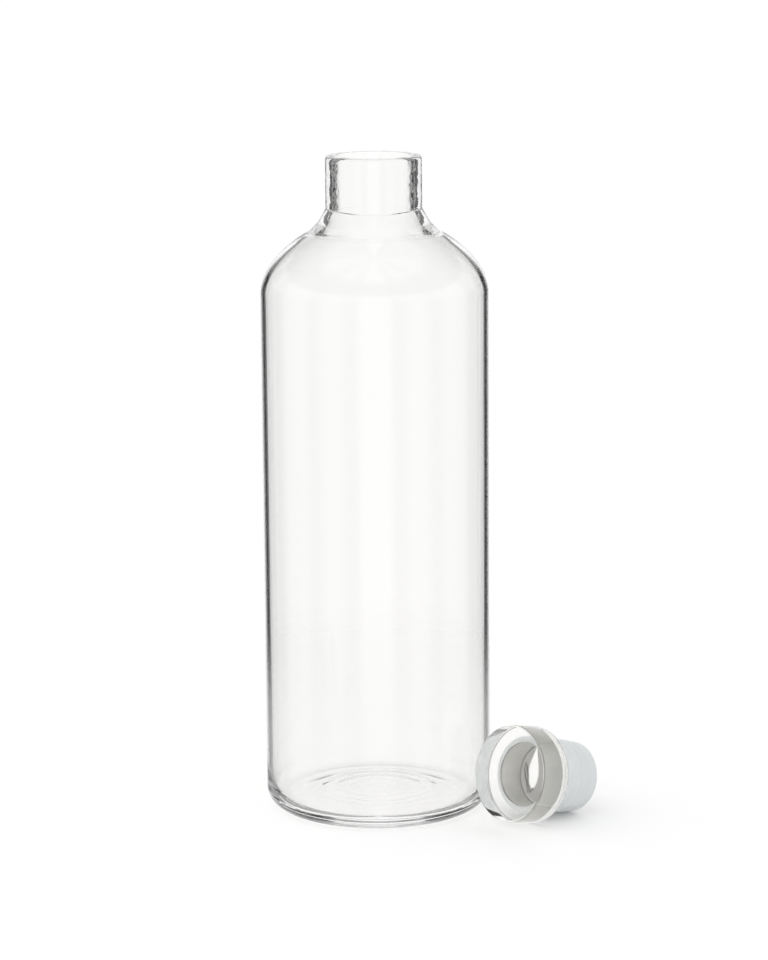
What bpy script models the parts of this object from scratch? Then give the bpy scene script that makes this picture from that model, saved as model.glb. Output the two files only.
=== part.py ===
"""Glass water bottle with a loose glass stopper lying beside it.

Three pieces: the blown bottle, the solid glass stopper, and the ribbed silicone sleeve on the stopper's core.
The origin is the centre of the bottle's base, +Z runs up the bottle's axis, and lengths are in metres.
"""

import math

import bpy

MM = 0.001

# Bottle: outside
BOTTLE_HEIGHT = 246.0 * MM
BODY_RADIUS = 42.5 * MM
NECK_RADIUS = 17.9 * MM
HEEL_RADIUS = 7.0 * MM
SHOULDER_START_Z = 195.4 * MM
SHOULDER_END_RADIUS = 25.0 * MM
SHOULDER_END_Z = 217.6 * MM
SHOULDER_END_SLOPE = math.radians(29.0)
NECK_FOOT_Z = 226.8 * MM
RIM_OUTER_ROUNDING = 1.4 * MM

# Bottle: inside
BODY_WALL = 2.3 * MM
BORE_RADIUS = 13.5 * MM
RIM_INNER_ROUNDING = 0.4 * MM
FLOOR_THICKNESS = 4.4 * MM
FLOOR_CROWN = 0.8 * MM
INNER_HEEL_WIDTH = 6.2 * MM
INNER_HEEL_HEIGHT = 19.0 * MM

# Stopper
HEAD_RADIUS = 18.0 * MM
HEAD_THICKNESS = 13.0 * MM
HEAD_ROUNDING = 0.7 * MM
CORE_RADIUS = 11.7 * MM
CORE_LENGTH = 20.6 * MM
CORE_CHAMFER = 0.8 * MM

# Sleeve
SLEEVE_BORE_RADIUS = 12.0 * MM
SLEEVE_TOP_RADIUS = 13.9 * MM
SLEEVE_END_RADIUS = 13.0 * MM
SLEEVE_TOP_GAP = 0.3 * MM
SLEEVE_LENGTH = 21.0 * MM
SLEEVE_END_ROUNDING = 1.0 * MM
RIB_HEIGHT = 0.3 * MM
RIB_WIDTH = 2.2 * MM
RIB_DEPTHS = (7.0 * MM, 11.0 * MM, 15.0 * MM)

# Where the loose stopper lies: the middle of its flat face, and the way its plug points
HEAD_FACE_X = 48.5 * MM
HEAD_FACE_Y = -35.5 * MM
PLUG_AZIMUTH = math.radians(42.0)
FLOOR_GAP = 0.05 * MM

BOTTLE_SEGMENTS = 48
STOPPER_SEGMENTS = 40


def clear_scene():
    for old in list(bpy.data.objects):
        bpy.data.objects.remove(old, do_unlink=True)


def material(name, colour, roughness, transmission):
    mat = bpy.data.materials.new(name)
    mat.use_nodes = True
    shader = mat.node_tree.nodes["Principled BSDF"]
    shader.inputs["Base Color"].default_value = (*colour, 1.0)
    shader.inputs["Roughness"].default_value = roughness
    shader.inputs["Metallic"].default_value = 0.0
    shader.inputs["IOR"].default_value = 1.47
    shader.inputs["Transmission Weight"].default_value = transmission
    mat.diffuse_color = (*colour, 1.0)
    return mat


def arc(centre_r, centre_z, radius, start, end, steps):
    """Points (r, z) on an arc. Angles are in degrees from +r towards +z."""
    points = []
    for i in range(steps + 1):
        angle = math.radians(start + (end - start) * i / steps)
        points.append((centre_r + radius * math.cos(angle), centre_z + radius * math.sin(angle)))
    return points


def bezier(p0, p1, p2, p3, steps):
    """Points (r, z) on a cubic curve, both ends included."""
    points = []
    for i in range(steps + 1):
        t = i / steps
        s = 1.0 - t
        weights = (s * s * s, 3.0 * s * s * t, 3.0 * s * t * t, t * t * t)
        r = sum(w * p[0] for w, p in zip(weights, (p0, p1, p2, p3)))
        z = sum(w * p[1] for w, p in zip(weights, (p0, p1, p2, p3)))
        points.append((r, z))
    return points


def turned(name, profile, closed, segments, mat):
    """A piece turned about Z. The profile runs down its outer side from top to bottom."""
    mesh = bpy.data.meshes.new(name)
    edges = [(i, i + 1) for i in range(len(profile) - 1)]
    if closed:
        edges.append((len(profile) - 1, 0))
    mesh.from_pydata([(r, 0.0, z) for r, z in profile], edges, [])
    piece = bpy.data.objects.new(name, mesh)
    bpy.context.scene.collection.objects.link(piece)
    screw = piece.modifiers.new("turn", "SCREW")
    screw.axis = "Z"
    screw.angle = 2.0 * math.pi
    screw.steps = segments
    screw.render_steps = segments
    screw.use_merge_vertices = True
    screw.merge_threshold = 0.00001
    screw.use_smooth_shade = True
    piece.data.materials.append(mat)
    return piece


def bottle_outside():
    """From the top of the rim down to the middle of the base."""
    rim_z = BOTTLE_HEIGHT - RIM_OUTER_ROUNDING
    slope_r = math.cos(SHOULDER_END_SLOPE)
    slope_z = math.sin(SHOULDER_END_SLOPE)
    ledge = (SHOULDER_END_RADIUS, SHOULDER_END_Z)
    rim = arc(NECK_RADIUS - RIM_OUTER_ROUNDING, rim_z, RIM_OUTER_ROUNDING, 90, 0, 4)
    flare = bezier(
        (NECK_RADIUS + 0.25 * MM, NECK_FOOT_Z - 0.8 * MM),
        (NECK_RADIUS + 2.0 * MM, NECK_FOOT_Z - 3.8 * MM),
        (SHOULDER_END_RADIUS - 2.9 * MM, SHOULDER_END_Z + 1.9 * MM),
        (SHOULDER_END_RADIUS - 0.4 * MM, SHOULDER_END_Z + 0.3 * MM),
        6,
    )
    shoulder = bezier(
        (ledge[0] + 1.2 * MM, ledge[1] - 1.2 * MM * slope_z / slope_r),
        (ledge[0] + 7.3 * MM * slope_r, ledge[1] - 7.3 * MM * slope_z),
        (BODY_RADIUS, SHOULDER_START_Z + 9.2 * MM),
        (BODY_RADIUS, SHOULDER_START_Z),
        10,
    )
    heel = arc(BODY_RADIUS - HEEL_RADIUS, HEEL_RADIUS, HEEL_RADIUS, 0, -90, 6)
    return rim + [(NECK_RADIUS, NECK_FOOT_Z)] + flare + shoulder + heel + [(0.0, 0.0)]


def bottle_inside():
    """From the middle of the inner floor up to the top of the rim."""
    inner_radius = BODY_RADIUS - BODY_WALL
    heel_r = inner_radius - INNER_HEEL_WIDTH
    heel_z = FLOOR_THICKNESS + INNER_HEEL_HEIGHT
    floor = bezier(
        (0.0, FLOOR_THICKNESS + FLOOR_CROWN),
        (heel_r * 0.4, FLOOR_THICKNESS + FLOOR_CROWN),
        (heel_r * 0.7, FLOOR_THICKNESS),
        (heel_r, FLOOR_THICKNESS),
        5,
    )
    heel = bezier(
        (heel_r, FLOOR_THICKNESS),
        (heel_r + 0.8 * INNER_HEEL_WIDTH, FLOOR_THICKNESS),
        (inner_radius, FLOOR_THICKNESS + 0.2 * INNER_HEEL_HEIGHT),
        (inner_radius, heel_z),
        8,
    )
    shoulder = bezier(
        (inner_radius, SHOULDER_START_Z - 0.4 * MM),
        (inner_radius, SHOULDER_START_Z + 8.0 * MM),
        (SHOULDER_END_RADIUS + 5.6 * MM, SHOULDER_END_Z - 5.8 * MM),
        (SHOULDER_END_RADIUS - 0.6 * MM, SHOULDER_END_Z - 1.9 * MM),
        9,
    )
    flare = bezier(
        (SHOULDER_END_RADIUS - 3.4 * MM, SHOULDER_END_Z - 0.4 * MM),
        (BORE_RADIUS + 5.0 * MM, SHOULDER_END_Z + 1.4 * MM),
        (BORE_RADIUS + 2.4 * MM, SHOULDER_END_Z + 4.6 * MM),
        (BORE_RADIUS + 1.2 * MM, NECK_FOOT_Z - 1.6 * MM),
        5,
    )
    foot = [(BORE_RADIUS, NECK_FOOT_Z - 0.5 * MM)]
    rim_r = BORE_RADIUS + RIM_INNER_ROUNDING
    rim = arc(rim_r, BOTTLE_HEIGHT - RIM_INNER_ROUNDING, RIM_INNER_ROUNDING, 180, 90, 3)
    return floor + heel[1:] + shoulder + flare + foot + rim


def make_bottle():
    glass = material("bottle_glass", (0.93, 0.95, 0.94), 0.02, 1.0)
    return turned("bottle", bottle_inside() + bottle_outside(), False, BOTTLE_SEGMENTS, glass)


def make_stopper():
    """The head stands on z = 0 with its flat face on top, and the core hangs below."""
    glass = material("stopper_glass", (0.90, 0.91, 0.90), 0.02, 1.0)
    edge_r = HEAD_RADIUS - HEAD_ROUNDING
    head = [(0.0, HEAD_THICKNESS)]
    head += arc(edge_r, HEAD_THICKNESS - HEAD_ROUNDING, HEAD_ROUNDING, 90, 0, 5)
    head += arc(edge_r, HEAD_ROUNDING, HEAD_ROUNDING, 0, -90, 5)
    core = [
        (CORE_RADIUS, 0.0),
        (CORE_RADIUS, -CORE_LENGTH + CORE_CHAMFER),
        (CORE_RADIUS - CORE_CHAMFER, -CORE_LENGTH),
        (0.0, -CORE_LENGTH),
    ]
    return turned("glass_stopper", head + core, False, STOPPER_SEGMENTS, glass)


def sleeve_radius(depth):
    """The sleeve's outer radius at a depth below the head, without its rounded ends."""
    radius = SLEEVE_TOP_RADIUS + (SLEEVE_END_RADIUS - SLEEVE_TOP_RADIUS) * depth / SLEEVE_LENGTH
    for rib in RIB_DEPTHS:
        offset = abs(depth - rib) / (0.5 * RIB_WIDTH)
        if offset < 1.0:
            radius += RIB_HEIGHT * (0.5 + 0.5 * math.cos(math.pi * offset))
    return radius


def make_sleeve():
    silicone = material("sleeve_silicone", (0.82, 0.85, 0.86), 0.45, 0.5)
    outside = [
        (SLEEVE_TOP_RADIUS - 0.5 * MM, -SLEEVE_TOP_GAP),
        (SLEEVE_TOP_RADIUS, -SLEEVE_TOP_GAP - 0.5 * MM),
    ]
    for rib in RIB_DEPTHS:
        for share in (-0.5, 0.0, 0.5):
            depth = rib + share * RIB_WIDTH
            outside.append((sleeve_radius(depth), -depth))
    end_r = SLEEVE_END_RADIUS - SLEEVE_END_ROUNDING
    end_z = -SLEEVE_LENGTH + SLEEVE_END_ROUNDING
    outside += arc(end_r, end_z, SLEEVE_END_ROUNDING, 0, -90, 4)
    inside = [(SLEEVE_BORE_RADIUS, -SLEEVE_LENGTH), (SLEEVE_BORE_RADIUS, -SLEEVE_TOP_GAP)]
    return turned("sealing_sleeve", outside + inside, True, STOPPER_SEGMENTS, silicone)


def resting_dip():
    """The angle that the plug dips by when the head's lower edge and the plug's end both touch the floor."""
    along = (HEAD_THICKNESS + SLEEVE_LENGTH - SLEEVE_END_ROUNDING) - (HEAD_THICKNESS - HEAD_ROUNDING)
    across = (SLEEVE_END_RADIUS - SLEEVE_END_ROUNDING) - (HEAD_RADIUS - HEAD_ROUNDING)
    rounding = HEAD_ROUNDING - SLEEVE_END_ROUNDING
    return math.asin(rounding / math.hypot(along, across)) - math.atan2(across, along)


def lay_stopper(pieces):
    """Parents the stopper's pieces to an empty that lies beside the bottle."""
    dip = resting_dip()
    to_foot = HEAD_THICKNESS - HEAD_ROUNDING
    drop = to_foot * math.sin(dip) + (HEAD_RADIUS - HEAD_ROUNDING) * math.cos(dip)
    face_z = FLOOR_GAP + drop + HEAD_ROUNDING
    level = HEAD_THICKNESS * math.cos(dip)
    pose = bpy.data.objects.new("stopper_pose", None)
    bpy.context.scene.collection.objects.link(pose)
    pose.empty_display_size = 0.02
    pose.location = (
        HEAD_FACE_X + level * math.cos(PLUG_AZIMUTH),
        HEAD_FACE_Y + level * math.sin(PLUG_AZIMUTH),
        face_z - HEAD_THICKNESS * math.sin(dip),
    )
    pose.rotation_euler = (0.0, 0.5 * math.pi - dip, PLUG_AZIMUTH + math.pi)
    for piece in pieces:
        piece.parent = pose


def main():
    clear_scene()
    make_bottle()
    lay_stopper([make_stopper(), make_sleeve()])
    bpy.context.view_layer.update()


main()
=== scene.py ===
"""Looks for the glass water bottle and its loose stopper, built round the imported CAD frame."""

import math

import bpy
from mathutils import Euler, Matrix, Vector, noise


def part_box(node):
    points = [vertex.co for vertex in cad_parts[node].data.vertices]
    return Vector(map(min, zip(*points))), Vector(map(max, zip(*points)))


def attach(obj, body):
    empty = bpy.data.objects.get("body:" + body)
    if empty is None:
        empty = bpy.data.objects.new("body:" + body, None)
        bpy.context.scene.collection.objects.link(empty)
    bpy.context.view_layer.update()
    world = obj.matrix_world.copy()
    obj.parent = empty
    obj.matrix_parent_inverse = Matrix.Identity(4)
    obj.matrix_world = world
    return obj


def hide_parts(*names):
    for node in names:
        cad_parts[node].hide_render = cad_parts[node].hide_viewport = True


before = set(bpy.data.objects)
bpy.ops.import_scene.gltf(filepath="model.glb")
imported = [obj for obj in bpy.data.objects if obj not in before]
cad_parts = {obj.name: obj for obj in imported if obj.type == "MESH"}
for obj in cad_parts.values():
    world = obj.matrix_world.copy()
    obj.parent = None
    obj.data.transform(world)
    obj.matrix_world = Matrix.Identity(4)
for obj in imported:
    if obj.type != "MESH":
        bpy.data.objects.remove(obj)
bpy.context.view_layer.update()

MM = 0.001
BOTTLE_LOW, BOTTLE_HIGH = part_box("bottle")
HEAD_LOW, HEAD_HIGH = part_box("glass_stopper")
SLEEVE_LOW, SLEEVE_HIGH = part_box("sealing_sleeve")

# Camera, at the photograph's viewing angle
CAMERA_PLACE = (2.94 * MM, -1154.7 * MM, 357.6 * MM)
CAMERA_PITCH = math.radians(11.42)
CAMERA_ROLL = math.radians(-0.463)
CAMERA_LENS = 118.03
SENSOR_WIDTH = 36.0


def make_camera():
    data = bpy.data.cameras.new("camera")
    data.lens = CAMERA_LENS
    data.sensor_width = SENSOR_WIDTH
    data.sensor_fit = "AUTO"
    data.clip_start = 0.05
    data.clip_end = 20.0
    camera = bpy.data.objects.new("camera", data)
    bpy.context.scene.collection.objects.link(camera)
    look = Euler((0.5 * math.pi - CAMERA_PITCH, 0.0, 0.0)).to_matrix()
    roll = Matrix.Rotation(CAMERA_ROLL, 3, "Z")
    camera.matrix_world = Matrix.Translation(CAMERA_PLACE) @ (look @ roll).to_4x4()
    bpy.context.scene.camera = camera


# ---------------------------------------------------------------- mesh helpers


def arc(centre_r, centre_z, radius, start, end, steps):
    """Points (r, z) on an arc. Angles are in degrees from +r towards +z."""
    points = []
    for i in range(steps + 1):
        angle = math.radians(start + (end - start) * i / steps)
        points.append((centre_r + radius * math.cos(angle), centre_z + radius * math.sin(angle)))
    return points


def bezier(p0, p1, p2, p3, steps):
    """Points (r, z) on a cubic curve, both ends included."""
    points = []
    for i in range(steps + 1):
        t = i / steps
        s = 1.0 - t
        weights = (s * s * s, 3.0 * s * s * t, 3.0 * s * t * t, t * t * t)
        r = sum(w * p[0] for w, p in zip(weights, (p0, p1, p2, p3)))
        z = sum(w * p[1] for w, p in zip(weights, (p0, p1, p2, p3)))
        points.append((r, z))
    return points


def spread(points, spacing):
    """The same line with points no further apart than spacing, evenly between its corners."""
    out = [points[0]]
    for a, b in zip(points, points[1:]):
        length = math.hypot(b[0] - a[0], b[1] - a[1])
        count = max(1, math.ceil(length / spacing))
        for i in range(1, count + 1):
            t = i / count
            out.append((a[0] + (b[0] - a[0]) * t, a[1] + (b[1] - a[1]) * t))
    return out


def lathe(name, profile, segments, shift=None):
    """A turned closed piece. The profile starts and ends on the axis, or closes on itself.

    shift(ring, r, z, angle) gives a point's small (radial, upward) move away from the exact turned shape.
    """
    on_axis = profile[0][0] == 0.0
    rings = profile[1:-1] if on_axis else profile
    verts = []
    for ring, (r, z) in enumerate(rings):
        for k in range(segments):
            angle = 2.0 * math.pi * k / segments
            dr, dz = shift(ring, r, z, angle) if shift else (0.0, 0.0)
            verts.append(((r + dr) * math.cos(angle), (r + dr) * math.sin(angle), z + dz))
    faces = []
    count = len(rings)
    last = count - 1 if on_axis else count
    for i in range(last):
        a = i * segments
        b = ((i + 1) % count) * segments
        for k in range(segments):
            n = (k + 1) % segments
            faces.append((a + k, b + k, b + n, a + n))
    if on_axis:
        first, final = len(verts), len(verts) + 1
        verts.append((0.0, 0.0, profile[0][1]))
        verts.append((0.0, 0.0, profile[-1][1]))
        base = (count - 1) * segments
        for k in range(segments):
            n = (k + 1) % segments
            faces.append((first, k, n))
            faces.append((final, base + n, base + k))
    mesh = bpy.data.meshes.new(name)
    mesh.from_pydata(verts, [], faces)
    mesh.validate()
    mesh.shade_smooth()
    piece = bpy.data.objects.new(name, mesh)
    bpy.context.scene.collection.objects.link(piece)
    return piece


def face_outwards(piece):
    """Turns every face outwards, judged by the closed mesh's signed volume."""
    mesh = piece.data
    volume = 0.0
    for poly in mesh.polygons:
        corners = [mesh.vertices[i].co for i in poly.vertices]
        for b, c in zip(corners[1:], corners[2:]):
            volume += corners[0].dot(b.cross(c))
    if volume < 0.0:
        mesh.flip_normals()


# ---------------------------------------------------------------- materials

GLASS_IOR = 1.47
SILICONE_IOR = 1.41
GROUND_ROUGHNESS = 0.5
GROUND_OPACITY = 0.4
BOTTLE_TINTS = (0.975, 0.98, 0.975, 1.0), (0.995, 0.99, 0.985, 1.0)
STOPPER_TINTS = (0.98, 0.975, 0.96, 1.0), (0.99, 0.985, 0.97, 1.0)
GROUND_TINT = (0.95, 0.94, 0.905, 1.0)
# Painted shade: the near black painted on the stopper's shear lines and back edge, which also darkens its
# ground end
PAINTED_SHADE_TINT = (0.09, 0.085, 0.075, 1.0)
SLEEVE_TINTS = (0.82, 0.85, 0.86, 1.0), (0.89, 0.91, 0.92, 1.0)
FLOOR_TINT = (0.9, 0.9, 0.9, 1.0)
FLOOR_FADE = (0.13, 0.34)
FLOOR_HIDDEN_IN_REFLECTIONS = 0.55


def new_material(name):
    mat = bpy.data.materials.new(name)
    mat.use_nodes = True
    tree = mat.node_tree
    shader = tree.nodes["Principled BSDF"]
    return mat, tree, shader


def node(tree, kind, **values):
    made = tree.nodes.new(kind)
    for key, value in values.items():
        setattr(made, key, value)
    return made


def connect(tree, socket, value):
    """Sets a socket to a number or colour, or links another node's socket to it."""
    if isinstance(value, (int, float, tuple)):
        socket.default_value = value
    else:
        tree.links.new(value, socket)


def math_node(tree, operation, a, b=None):
    made = node(tree, "ShaderNodeMath", operation=operation)
    connect(tree, made.inputs[0], a)
    if b is not None:
        connect(tree, made.inputs[1], b)
    return made.outputs[0]


def ramp_node(tree, value, where, levels):
    """The first level before the first place, the second level after the second, and smooth between."""
    made = node(tree, "ShaderNodeMapRange", interpolation_type="SMOOTHSTEP")
    tree.links.new(value, made.inputs["Value"])
    made.inputs["From Min"].default_value, made.inputs["From Max"].default_value = where
    made.inputs["To Min"].default_value, made.inputs["To Max"].default_value = levels
    return made.outputs[0]


def noise_bump(tree, shader, scale, detail, height, stretch=(1.0, 1.0, 1.0)):
    """Gives the surface a fine unevenness, in metres of height, and returns the noise."""
    coord = node(tree, "ShaderNodeTexCoord")
    place = node(tree, "ShaderNodeMapping")
    place.inputs["Scale"].default_value = stretch
    grain = node(tree, "ShaderNodeTexNoise")
    grain.inputs["Scale"].default_value = scale
    grain.inputs["Detail"].default_value = detail
    bump = node(tree, "ShaderNodeBump")
    bump.inputs["Strength"].default_value = 1.0
    bump.inputs["Distance"].default_value = height
    tree.links.new(coord.outputs["Object"], place.inputs["Vector"])
    tree.links.new(place.outputs["Vector"], grain.inputs["Vector"])
    tree.links.new(grain.outputs[0], bump.inputs["Height"])
    tree.links.new(bump.outputs["Normal"], shader.inputs["Normal"])
    return grain.outputs[0]


def blend(tree, factor, first, second):
    """A colour mix, from a number socket and two colours or sockets."""
    made = node(tree, "ShaderNodeMix", data_type="RGBA")
    for socket, value in ((0, factor), (6, first), (7, second)):
        connect(tree, made.inputs[socket], value)
    return made.outputs[2]


def bottle_glass():
    mat, tree, shader = new_material("bottle_glass")
    ripple = noise_bump(tree, shader, scale=30.0, detail=1.0, height=0.02 * MM, stretch=(1.0, 1.0, 0.3))
    tree.links.new(blend(tree, ripple, *BOTTLE_TINTS), shader.inputs["Base Color"])
    shader.inputs["Roughness"].default_value = 0.0
    shader.inputs["IOR"].default_value = GLASS_IOR
    shader.inputs["Transmission Weight"].default_value = 1.0
    return mat


def stopper_glass():
    """Clear glass. The mesh's point values say where it is ground and where painted shade darkens its colour.
    """
    mat, tree, shader = new_material("stopper_glass")
    ripple = noise_bump(tree, shader, scale=60.0, detail=1.0, height=0.03 * MM)
    ground = node(tree, "ShaderNodeAttribute", attribute_name="ground").outputs["Fac"]
    painted_shade = node(tree, "ShaderNodeAttribute", attribute_name="painted_shade").outputs["Fac"]
    frosted = blend(tree, ground, blend(tree, ripple, *STOPPER_TINTS), GROUND_TINT)
    # Painted shade mixed into the colour: dark shear lines, a darker ground end and a dark back edge
    tree.links.new(blend(tree, painted_shade, frosted, PAINTED_SHADE_TINT), shader.inputs["Base Color"])
    rough = math_node(tree, "MULTIPLY", ground, GROUND_ROUGHNESS)
    tree.links.new(rough, shader.inputs["Roughness"])
    through = math_node(tree, "SUBTRACT", 1.0, math_node(tree, "MULTIPLY", ground, GROUND_OPACITY))
    tree.links.new(through, shader.inputs["Transmission Weight"])
    shader.inputs["IOR"].default_value = GLASS_IOR
    return mat


def sleeve_silicone():
    mat, tree, shader = new_material("sleeve_silicone")
    grain = noise_bump(tree, shader, scale=1800.0, detail=3.0, height=0.04 * MM)
    tree.links.new(blend(tree, grain, *SLEEVE_TINTS), shader.inputs["Base Color"])
    shader.inputs["Roughness"].default_value = 0.45
    shader.inputs["IOR"].default_value = SILICONE_IOR
    shader.inputs["Transmission Weight"].default_value = 0.4
    return mat


def floor_material():
    """Matt white that fades out with distance, and that reflections see only in part."""
    mat, tree, shader = new_material("floor_white")
    shader.inputs["Base Color"].default_value = FLOOR_TINT
    shader.inputs["Roughness"].default_value = 1.0
    shader.inputs["Specular IOR Level"].default_value = 0.0
    coord = node(tree, "ShaderNodeTexCoord")
    distance = node(tree, "ShaderNodeVectorMath", operation="LENGTH")
    tree.links.new(coord.outputs["Object"], distance.inputs[0])
    near = ramp_node(tree, distance.outputs["Value"], FLOOR_FADE, (1.0, 0.0))
    path = node(tree, "ShaderNodeLightPath")
    glossy = math_node(tree, "GREATER_THAN", path.outputs["Glossy Depth"], 0.5)
    hidden = math_node(tree, "MULTIPLY", glossy, FLOOR_HIDDEN_IN_REFLECTIONS)
    kept = math_node(tree, "SUBTRACT", 1.0, hidden)
    tree.links.new(math_node(tree, "MULTIPLY", near, kept), shader.inputs["Alpha"])
    return mat


# ---------------------------------------------------------------- bottle

BODY_RADIUS = BOTTLE_HIGH.x
BOTTLE_HEIGHT = BOTTLE_HIGH.z
NECK_RADIUS = 17.9 * MM
BORE_RADIUS = 13.5 * MM
BODY_WALL = 2.3 * MM
HEEL_RADIUS = 7.0 * MM
SHOULDER_START_Z = BOTTLE_HEIGHT - 50.6 * MM
LEDGE_RADIUS = 25.0 * MM
LEDGE_Z = BOTTLE_HEIGHT - 28.4 * MM
LEDGE_SLOPE = math.radians(29.0)
NECK_FOOT_Z = BOTTLE_HEIGHT - 19.2 * MM
RIM_OUTER_ROUNDING = 1.4 * MM
RIM_INNER_ROUNDING = 0.6 * MM
FLOOR_Z = 4.4 * MM
FLOOR_CROWN = 0.8 * MM
INNER_HEEL_WIDTH = 4.6 * MM
INNER_HEEL_HEIGHT = 12.0 * MM
RIM_STEPS = 5
BOTTLE_SEGMENTS = 208

# Points of the underside: radius and height, in millimetres
UNDERSIDE = ((33.0, 0.0), (31.0, 0.05), (28.0, 0.3), (24.0, 0.6), (16.0, 0.9), (8.0, 1.05), (0.0, 1.1))

# Unevenness of the blown inside. A floor ring is its radius, height and width, in millimetres.
MOTTLE_DEPTH = 0.03 * MM
BROAD_DEPTH = 0.06 * MM
FINE_RING_DEPTH = 0.022 * MM
FINE_RING_SPACING = 1.3 * MM
DRIFT_DEPTH = 0.14 * MM
LOW_STEP_DEPTH = 1.0 * MM
LOW_STEP_WIDTH = 1.6 * MM
FLOOR_RINGS = ((23.0, 0.18, 1.4), (18.0, 0.15, 1.6), (12.0, 0.06, 1.2), (6.0, 0.03, 1.2))
FLOOR_RING_WANDER = 0.8 * MM


def bottle_outside():
    """From the top of the rim down to the middle of the base."""
    slope_r, slope_z = math.cos(LEDGE_SLOPE), math.sin(LEDGE_SLOPE)
    rim_z = BOTTLE_HEIGHT - RIM_OUTER_ROUNDING
    rim = arc(NECK_RADIUS - RIM_OUTER_ROUNDING, rim_z, RIM_OUTER_ROUNDING, 90, 0, 10)
    neck = spread([rim[-1], (NECK_RADIUS, NECK_FOOT_Z)], 1.0 * MM)
    kink = bezier(
        (NECK_RADIUS, NECK_FOOT_Z),
        (NECK_RADIUS, NECK_FOOT_Z - 0.4 * MM),
        (NECK_RADIUS + 0.08 * MM, NECK_FOOT_Z - 0.5 * MM),
        (NECK_RADIUS + 0.25 * MM, NECK_FOOT_Z - 0.8 * MM),
        5,
    )
    flare = bezier(
        kink[-1],
        (NECK_RADIUS + 2.0 * MM, NECK_FOOT_Z - 3.8 * MM),
        (LEDGE_RADIUS - 2.9 * MM, LEDGE_Z + 1.9 * MM),
        (LEDGE_RADIUS - 0.4 * MM, LEDGE_Z + 0.3 * MM),
        24,
    )
    ledge = bezier(
        flare[-1],
        (LEDGE_RADIUS + 0.1 * MM, LEDGE_Z),
        (LEDGE_RADIUS + 0.6 * MM, LEDGE_Z - 0.3 * MM),
        (LEDGE_RADIUS + 1.2 * MM, LEDGE_Z - 1.2 * MM * slope_z / slope_r),
        6,
    )
    shoulder = bezier(
        ledge[-1],
        (LEDGE_RADIUS + 7.3 * MM * slope_r, LEDGE_Z - 7.3 * MM * slope_z),
        (BODY_RADIUS, SHOULDER_START_Z + 9.2 * MM),
        (BODY_RADIUS, SHOULDER_START_Z),
        36,
    )
    wall = spread([shoulder[-1], (BODY_RADIUS, HEEL_RADIUS)], 3.0 * MM)
    heel = arc(BODY_RADIUS - HEEL_RADIUS, HEEL_RADIUS, HEEL_RADIUS, 0, -90, 20)
    under = [(r * MM, z * MM) for r, z in UNDERSIDE]
    upper = rim + neck[1:] + kink[1:] + flare[1:] + ledge[1:]
    return upper + shoulder[1:] + wall[1:] + heel[1:] + under


def bottle_inside():
    """From the middle of the inner floor up to the top of the rim."""
    inner = BODY_RADIUS - BODY_WALL
    heel_r = inner - INNER_HEEL_WIDTH
    floor = bezier(
        (0.0, FLOOR_Z + FLOOR_CROWN),
        (heel_r * 0.4, FLOOR_Z + FLOOR_CROWN),
        (heel_r * 0.7, FLOOR_Z),
        (heel_r, FLOOR_Z),
        56,
    )
    heel = bezier(
        (heel_r, FLOOR_Z),
        (heel_r + 0.8 * INNER_HEEL_WIDTH, FLOOR_Z),
        (inner, FLOOR_Z + 0.2 * INNER_HEEL_HEIGHT),
        (inner, FLOOR_Z + INNER_HEEL_HEIGHT),
        30,
    )
    wall = spread([heel[-1], (inner, SHOULDER_START_Z - 0.4 * MM)], 3.0 * MM)
    crease = (LEDGE_RADIUS - 0.6 * MM, LEDGE_Z - 1.9 * MM)
    shoulder = bezier(
        wall[-1],
        (inner, SHOULDER_START_Z + 8.0 * MM),
        (LEDGE_RADIUS + 5.6 * MM, LEDGE_Z - 5.8 * MM),
        crease,
        40,
    )
    link = spread([crease, (LEDGE_RADIUS - 3.4 * MM, LEDGE_Z - 0.4 * MM)], 0.5 * MM)
    flare = bezier(
        link[-1],
        (BORE_RADIUS + 5.0 * MM, LEDGE_Z + 1.4 * MM),
        (BORE_RADIUS + 2.4 * MM, LEDGE_Z + 4.6 * MM),
        (BORE_RADIUS + 1.2 * MM, NECK_FOOT_Z - 1.6 * MM),
        20,
    )
    step = bezier(
        flare[-1],
        (BORE_RADIUS + 1.0 * MM, NECK_FOOT_Z - 1.1 * MM),
        (BORE_RADIUS + 0.1 * MM, NECK_FOOT_Z - 1.0 * MM),
        (BORE_RADIUS, NECK_FOOT_Z - 0.4 * MM),
        8,
    )
    bore = spread([step[-1], (BORE_RADIUS, BOTTLE_HEIGHT - RIM_INNER_ROUNDING)], 0.45 * MM)
    rim_r = BORE_RADIUS + RIM_INNER_ROUNDING
    rim = arc(rim_r, BOTTLE_HEIGHT - RIM_INNER_ROUNDING, RIM_INNER_ROUNDING, 180, 90, RIM_STEPS)
    upper = shoulder[1:] + link[1:] + flare[1:] + step[1:] + bore[1:] + rim[1:]
    return floor + heel[1:] + wall[1:] + upper


def fade(value, start, end):
    """0 at start, 1 at end, smooth between."""
    t = min(1.0, max(0.0, (value - start) / (end - start)))
    return t * t * (3.0 - 2.0 * t)


def bell(distance, width):
    """1 at no distance, and falling to nothing in about two widths."""
    return math.exp(-((distance / width) ** 2))


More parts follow.
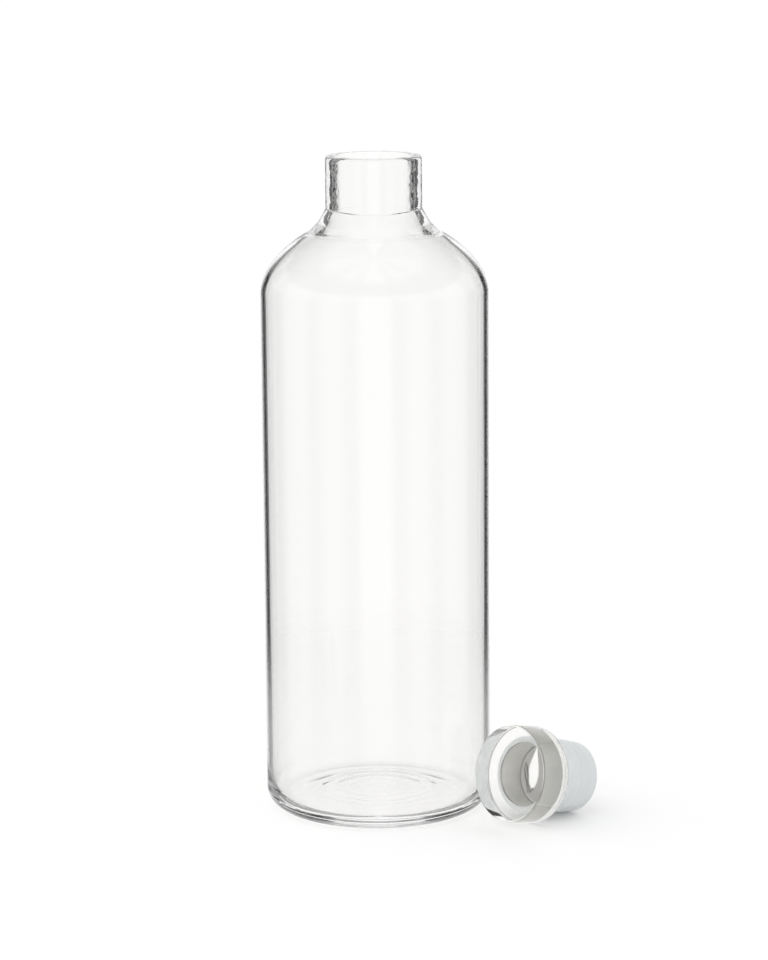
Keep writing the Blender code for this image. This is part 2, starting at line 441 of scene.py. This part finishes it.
def inner_unevenness(r, z, angle):
    """The blown inside: a mottled bore, fine rings where the neck spreads, and shallow rings on the floor."""
    around = Vector((math.cos(angle), math.sin(angle), 0.0))
    if z > LEDGE_Z - 4.0 * MM and r < LEDGE_RADIUS + 3.0 * MM:
        place = around * 11.0 + Vector((0.0, 0.0, z / (1.5 * MM)))
        mottle = noise.noise(place) + 0.6 * noise.noise(place * 2.1)
        broad = noise.noise(around * 2.0 + Vector((5.0, 0.0, z / (6.0 * MM))))
        strength = fade(LEDGE_RADIUS - r, 1.0 * MM, 8.0 * MM) * fade(BOTTLE_HEIGHT - z, 0.8 * MM, 1.6 * MM)
        move = MOTTLE_DEPTH * mottle * strength + BROAD_DEPTH * broad * strength
        low_step = LOW_STEP_DEPTH * bell(z - NECK_FOOT_Z + 1.2 * MM, LOW_STEP_WIDTH)
        dip = -low_step * max(0.0, -math.sin(angle)) ** 2
        rings = math.sin(2.0 * math.pi * r / FINE_RING_SPACING + 1.4 * noise.noise(around * 1.5))
        ringed = fade(r, BORE_RADIUS + 1.0 * MM, BORE_RADIUS + 3.0 * MM)
        drift = noise.noise(around * 2.6 + Vector((9.0, 3.0, z / (5.0 * MM))))
        move += (FINE_RING_DEPTH * rings + DRIFT_DEPTH * drift) * ringed
        return move, dip - move * ringed
    if z < FLOOR_Z + 1.2 * MM:
        wander = FLOOR_RING_WANDER * noise.noise(around * 1.2 + Vector((2.0, 7.0, 0.0)))
        rise = 0.0
        for radius, height, width in FLOOR_RINGS:
            rise += height * MM * bell(r + wander - radius * MM, width * MM)
        return 0.0, rise
    return 0.0, 0.0


def make_bottle():
    inside = bottle_inside()
    # The profile's first point is on the axis and makes no ring, and the rim has one more point than steps
    rings_below_rim = len(inside) - RIM_STEPS - 2

    def shift(ring, r, z, angle):
        return inner_unevenness(r, z, angle) if ring < rings_below_rim else (0.0, 0.0)

    piece = lathe("bottle_shell", inside + bottle_outside()[1:], BOTTLE_SEGMENTS, shift)
    face_outwards(piece)
    piece.data.materials.append(bottle_glass())
    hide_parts("bottle")
    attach(piece, "bottle")


# ---------------------------------------------------------------- stopper

HEAD_RADIUS = 18.0 * MM
HEAD_THICKNESS = 13.0 * MM
HEAD_ROUNDING = 0.7 * MM
FACE_RING_RADII = (4.0 * MM, 8.0 * MM, 12.0 * MM)
CORE_RADIUS = 11.7 * MM
CORE_LENGTH = 20.6 * MM
CORE_ROUNDING = 0.8 * MM
ROOT_ROUNDING = 0.25 * MM
SLEEVE_BORE_RADIUS = 12.0 * MM
SLEEVE_TOP_RADIUS = 13.9 * MM
SLEEVE_END_RADIUS = 13.0 * MM
SLEEVE_LENGTH = 21.0 * MM
SLEEVE_TOP_GAP = 0.3 * MM
SLEEVE_TOP_ROUNDING = 0.5 * MM
SLEEVE_END_ROUNDING = 1.0 * MM
RIB_HEIGHT = 0.3 * MM
RIB_WIDTH = 2.2 * MM
RIB_DEPTHS = (7.0 * MM, 11.0 * MM, 15.0 * MM)
STOPPER_SEGMENTS = 192

# The end of the core, seen along the plug: a clear drop, and shear lines that are grooved and painted in dark
# shade.
# Right and up are as they look from the head's side while the stopper lies.
DROP_RIGHT = -5.6 * MM
DROP_HALF_WIDTH = 2.4 * MM
DROP_TOP = 9.6 * MM
DROP_BOTTOM = -6.5 * MM
SHEAR_LINES_GROOVED_AND_SHADED = tuple(
    tuple((right * MM, up * MM) for right, up in path)
    for path in (
        ((-10.2, 2.6), (-10.5, 0.6), (-9.3, -1.8), (-7.8, -4.4), (-6.8, -8.0)),
        ((-10.2, 2.6), (-8.7, 0.9), (-7.9, -1.4), (-7.2, -4.8), (-5.6, -7.6), (-4.6, -6.2)),
    )
)
HOLLOW_DEPTH = 0.5 * MM
HOLLOW_WIDTH = 5.0 * MM
GROOVE_DEPTH = 0.3 * MM
GROOVE_HALF_WIDTH = 0.5 * MM
# Painted shade: how much darker the ground end of the core is painted, all but the clear drop
GROUND_END_PAINTED_SHADE = 0.72
# Painted shade: how dark the head's back edge is painted
BACK_EDGE_PAINTED_SHADE = 0.8
PLUG_AZIMUTH = math.radians(42.0)
PLUG_DIP = math.radians(13.56)


def settle(piece, low, high):
    """Turns a piece modelled plug down into its lying pose, and moves it into its CAD node's box."""
    turn = Euler((0.0, 0.5 * math.pi - PLUG_DIP, PLUG_AZIMUTH + math.pi)).to_matrix().to_4x4()
    piece.data.transform(turn)
    spots = [v.co for v in piece.data.vertices]
    mid = Vector([(min(c[i] for c in spots) + max(c[i] for c in spots)) / 2 for i in range(3)])
    piece.data.transform(Matrix.Translation((low + high) / 2 - mid))


def near_line(right, up, path):
    """Distance from a spot to a line of points."""
    best = 1.0
    for (x0, y0), (x1, y1) in zip(path, path[1:]):
        dx, dy = x1 - x0, y1 - y0
        t = ((right - x0) * dx + (up - y0) * dy) / (dx * dx + dy * dy)
        t = min(1.0, max(0.0, t))
        best = min(best, math.hypot(right - x0 - t * dx, up - y0 - t * dy))
    return best


def near_shear_line(right, up):
    """Distance from a spot to the nearest shear line."""
    return min(near_line(right, up, path) for path in SHEAR_LINES_GROOVED_AND_SHADED)


def drop_amount(right, up):
    """1 inside the clear drop left in the ground end of the core, 0 outside it."""
    along = (DROP_TOP - up) / (DROP_TOP - DROP_BOTTOM)
    if along <= 0.0 or along >= 1.0:
        return 0.0
    half = DROP_HALF_WIDTH * math.sin(math.pi * along ** 1.5) ** 0.8
    return fade(half - abs(right - DROP_RIGHT + 0.1 * up), -0.25 * MM, 0.25 * MM)


def core_end(ring, r, z, angle):
    """The shear lines' groove pressed into the far end of the core, and the slight hollow round it."""
    if z > -CORE_LENGTH + 0.05 * MM or r > CORE_RADIUS - 0.7 * MM:
        return 0.0, 0.0
    right, up = r * math.sin(angle), -r * math.cos(angle)
    hollow = HOLLOW_DEPTH * math.exp(-((right - DROP_RIGHT) ** 2 + up * up) / HOLLOW_WIDTH ** 2)
    edge = fade(CORE_RADIUS - r, CORE_ROUNDING, 3.0 * MM)
    groove = max(0.0, 1.0 - near_shear_line(right, up) / GROOVE_HALF_WIDTH)
    return 0.0, (hollow + GROOVE_DEPTH * groove) * edge


def store_ground_and_painted_shade(piece):
    """Stores on each point how ground the glass is, and its painted shade: dark shear lines, a darker ground
    end with the drop left out, and a dark back edge on the head.
    """
    ground = piece.data.attributes.new("ground", "FLOAT", "POINT")
    painted_shade = piece.data.attributes.new("painted_shade", "FLOAT", "POINT")
    for i, vert in enumerate(piece.data.vertices):
        x, y, z = vert.co
        if z > -0.4 * MM:
            # Painted shade: a dark ring round the head's back edge
            on_back_edge = z < 0.9 * HEAD_ROUNDING and math.hypot(x, y) > HEAD_RADIUS - 0.8 * HEAD_ROUNDING
            painted_shade.data[i].value = BACK_EDGE_PAINTED_SHADE if on_back_edge else 0.0
            continue
        ground.data[i].value = 1.0
        if z < -CORE_LENGTH + 1.2 * MM:
            right, up = y, -x
            ground.data[i].value = 1.0 - drop_amount(right, up)
            # Painted shade: the ground end darker except in the clear drop, and near black along the shear
            # lines
            shade = GROUND_END_PAINTED_SHADE * ground.data[i].value
            painted_shade.data[i].value = max(shade, fade(near_shear_line(right, up), 0.62 * MM, 0.3 * MM))


def make_stopper():
    edge = HEAD_RADIUS - HEAD_ROUNDING
    top = [(r, HEAD_THICKNESS) for r in (0.0, *FACE_RING_RADII)]
    head = arc(edge, HEAD_THICKNESS - HEAD_ROUNDING, HEAD_ROUNDING, 90, 0, 10)
    head += arc(edge, HEAD_ROUNDING, HEAD_ROUNDING, 0, -90, 10)
    root = arc(CORE_RADIUS + ROOT_ROUNDING, -ROOT_ROUNDING, ROOT_ROUNDING, 90, 180, 5)
    bend_z = -CORE_LENGTH + CORE_ROUNDING
    core = spread([root[-1], (CORE_RADIUS, bend_z)], 2.0 * MM)[1:]
    core += arc(CORE_RADIUS - CORE_ROUNDING, bend_z, CORE_ROUNDING, 0, -90, 6)[1:]
    core += spread([core[-1], (0.2 * MM, -CORE_LENGTH)], 0.3 * MM)[1:] + [(0.0, -CORE_LENGTH)]
    piece = lathe("stopper_head_and_core", top + head + root + core, STOPPER_SEGMENTS, core_end)
    face_outwards(piece)
    store_ground_and_painted_shade(piece)
    settle(piece, HEAD_LOW, HEAD_HIGH)
    piece.data.materials.append(stopper_glass())
    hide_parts("glass_stopper")
    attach(piece, "stopper")


def sleeve_radius(depth):
    """The sleeve's outer radius, ribs included, at a depth below its top."""
    radius = SLEEVE_TOP_RADIUS + (SLEEVE_END_RADIUS - SLEEVE_TOP_RADIUS) * depth / SLEEVE_LENGTH
    for rib in RIB_DEPTHS:
        offset = abs(depth - rib) / (0.5 * RIB_WIDTH)
        if offset < 1.0:
            radius += RIB_HEIGHT * (0.5 + 0.5 * math.cos(math.pi * offset))
    return radius


def make_sleeve():
    top_r = SLEEVE_TOP_RADIUS - SLEEVE_TOP_ROUNDING
    top = arc(top_r, -SLEEVE_TOP_GAP - SLEEVE_TOP_ROUNDING, SLEEVE_TOP_ROUNDING, 90, 0, 5)
    side = []
    depth = 1.0 * MM
    while depth < SLEEVE_LENGTH - 1.4 * MM:
        side.append((sleeve_radius(depth), -depth))
        depth += 0.2 * MM
    end_r = SLEEVE_END_RADIUS - SLEEVE_END_ROUNDING
    end = arc(end_r, -SLEEVE_LENGTH + SLEEVE_END_ROUNDING, SLEEVE_END_ROUNDING, 0, -90, 8)
    inside = spread([(SLEEVE_BORE_RADIUS, -SLEEVE_LENGTH), (SLEEVE_BORE_RADIUS, -SLEEVE_TOP_GAP)], 2.0 * MM)
    piece = lathe("sealing_sleeve_ribbed", top + side + end + inside, STOPPER_SEGMENTS)
    face_outwards(piece)
    settle(piece, SLEEVE_LOW, SLEEVE_HIGH)
    piece.data.materials.append(sleeve_silicone())
    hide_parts("sealing_sleeve")
    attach(piece, "stopper")


# ---------------------------------------------------------------- floor, world and light

FLOOR_RADII = (0.05, 0.12, 0.2, 0.3, 0.4)
FLOOR_SEGMENTS = 64
FLOOR_GAP = 0.05 * MM

# How bright the world is to each kind of ray
SEEN_LEVEL = 1.035
MATT_LEVEL = 1.14
DEEP_LEVEL = 0.84
DEEP_WAVE = 0.02


def make_floor():
    verts = [(0.0, 0.0, 0.0)]
    faces = []
    for ring in FLOOR_RADII:
        for k in range(FLOOR_SEGMENTS):
            angle = 2.0 * math.pi * k / FLOOR_SEGMENTS
            verts.append((ring * math.cos(angle), ring * math.sin(angle), 0.0))
    for k in range(FLOOR_SEGMENTS):
        faces.append((0, 1 + k, 1 + (k + 1) % FLOOR_SEGMENTS))
    for i in range(len(FLOOR_RADII) - 1):
        a = 1 + i * FLOOR_SEGMENTS
        b = a + FLOOR_SEGMENTS
        for k in range(FLOOR_SEGMENTS):
            n = (k + 1) % FLOOR_SEGMENTS
            faces.append((a + k, b + k, b + n, a + n))
    mesh = bpy.data.meshes.new("floor")
    mesh.from_pydata(verts, [], faces)
    floor = bpy.data.objects.new("floor", mesh)
    bpy.context.scene.collection.objects.link(floor)
    floor.location.z = BOTTLE_LOW.z - FLOOR_GAP
    mesh.materials.append(floor_material())


def make_world():
    """A white tent whose brightness depends on the kind of ray, so that clear glass gets lines at its edges.

    The camera, and what it sees straight through the glass, gets near white, and matt surfaces get an even
    light. A reflection gets bright and dark panels, sharp behind the object and soft elsewhere, or an even
    grey. Which of them depends on how many glass surfaces the ray has passed.
    """
    world = bpy.data.worlds.new("studio")
    bpy.context.scene.world = world
    world.use_nodes = True
    tree = world.node_tree
    tree.nodes.clear()
    link = tree.links.new
    out = node(tree, "ShaderNodeOutputWorld")
    back = node(tree, "ShaderNodeBackground")
    link(back.outputs[0], out.inputs[0])
    path = node(tree, "ShaderNodeLightPath")
    coord = node(tree, "ShaderNodeTexCoord")
    parts = node(tree, "ShaderNodeSeparateXYZ")
    link(coord.outputs["Generated"], parts.inputs[0])
    x, y, z = parts.outputs

    def calc(operation, a, b=None):
        return math_node(tree, operation, a, b)

    def ramp(value, where, levels):
        return ramp_node(tree, value, where, levels)

    def mix(factor, low, high):
        made = node(tree, "ShaderNodeMix", data_type="FLOAT")
        for socket, value in ((0, factor), (2, low), (3, high)):
            connect(tree, made.inputs[socket], value)
        return made.outputs[0]

    # Degrees from straight behind the object, and degrees from the nearest of the four axes
    azimuth = calc("ARCTAN2", x, y)
    turned = calc("ABSOLUTE", calc("MULTIPLY", azimuth, 180.0 / math.pi))
    quarter = calc("FRACT", calc("ADD", calc("DIVIDE", azimuth, math.pi / 2), 4.5))
    off_axis = calc("MULTIPLY", calc("ABSOLUTE", calc("SUBTRACT", quarter, 0.5)), 90.0)
    aside = ramp(turned, (50.0, 58.0), (0.0, 1.0))

    # By height: a dark ring overhead, and bright light above the level and well below it
    overhead = calc("SUBTRACT", ramp(z, (0.42, 0.52), (0.0, 0.8)), ramp(z, (0.76, 0.9), (0.0, 0.7)))
    under_roof = calc("SUBTRACT", 1.0, overhead)
    upward = ramp(z, (0.1, 0.2), (0.0, 0.9))
    steep = ramp(calc("ABSOLUTE", z), (0.3, 0.5), (0.0, 0.86))

    # Sharp panels behind the object, with speckles that show in the neck's thick wall
    near_axis = ramp(off_axis, (16.0, 19.5), (1.02, 0.01))
    between = ramp(off_axis, (32.5, 35.0), (0.0, 0.3))
    past = ramp(off_axis, (37.0, 39.0), (1.0, 0.15))
    panels = calc("MAXIMUM", near_axis, calc("MULTIPLY", between, past))
    grain = node(tree, "ShaderNodeTexNoise")
    grain.inputs["Scale"].default_value = 16.0
    grain.inputs["Detail"].default_value = 2.0
    link(coord.outputs["Generated"], grain.inputs["Vector"])
    speckle = ramp(grain.outputs[0], (0.45, 0.66), (0.0, 0.34))
    speckled_side = ramp(off_axis, (31.0, 34.0), (0.0, 1.0))
    mottled = calc("ADD", panels, calc("MULTIPLY", speckle, speckled_side))

    # Soft panels elsewhere, darker at the two sides
    soft_far = ramp(off_axis, (28.0, 40.0), (0.0, 0.55))
    soft_band = calc("ADD", ramp(off_axis, (11.0, 22.0), (1.0, 0.0)), soft_far)
    across = ramp(calc("ABSOLUTE", calc("SUBTRACT", turned, 90.0)), (12.0, 45.0), (0.6, 1.0))
    side_edge = calc("MULTIPLY", calc("ADD", calc("MULTIPLY", soft_band, 0.8), 0.15), across)
    side_outer = calc("MULTIPLY", calc("ADD", calc("MULTIPLY", soft_band, 0.5), 0.48), across)

    # What each kind of reflection sees: inside one wall, past few surfaces, and past many
    edge_light = calc("MULTIPLY", mix(aside, mottled, side_edge), under_roof)
    far = ramp(off_axis, (32.0, 38.0), (0.0, 0.78))
    level = mix(aside, calc("MAXIMUM", near_axis, far), side_outer)
    outer = calc("MAXIMUM", calc("MAXIMUM", level, steep), upward)
    outer_light = calc("MULTIPLY", outer, under_roof)
    wave = calc("COSINE", calc("MULTIPLY", azimuth, 4.0))
    deep_light = calc("ADD", calc("MULTIPLY", wave, DEEP_WAVE), DEEP_LEVEL)

    glossy = calc("GREATER_THAN", path.outputs["Glossy Depth"], 0.5)
    once = calc("LESS_THAN", path.outputs["Glossy Depth"], 1.5)
    passes = path.outputs["Transmission Depth"]
    two = calc("MULTIPLY", calc("GREATER_THAN", passes, 1.5), calc("LESS_THAN", passes, 2.5))
    inside_wall = calc("MULTIPLY", once, two)
    few = calc("LESS_THAN", passes, 3.0)
    diffuse = calc("GREATER_THAN", path.outputs["Diffuse Depth"], 0.5)

    reflected = mix(inside_wall, mix(few, deep_light, outer_light), edge_light)
    seen = mix(glossy, SEEN_LEVEL, reflected)
    link(mix(diffuse, seen, MATT_LEVEL), back.inputs["Strength"])
    back.inputs["Color"].default_value = (1.0, 1.0, 1.0, 1.0)


def set_colours_and_bounces():
    """Plain colours, and enough bounces for light trapped in the thick base, where fewer draw dark lines."""
    scene = bpy.context.scene
    scene.view_settings.view_transform = "Standard"
    scene.cycles.blur_glossy = 0.0
    scene.cycles.max_bounces = 96
    scene.cycles.glossy_bounces = 48
    scene.cycles.transmission_bounces = 48


make_camera()
make_bottle()
make_stopper()
make_sleeve()
make_floor()
make_world()
set_colours_and_bounces()
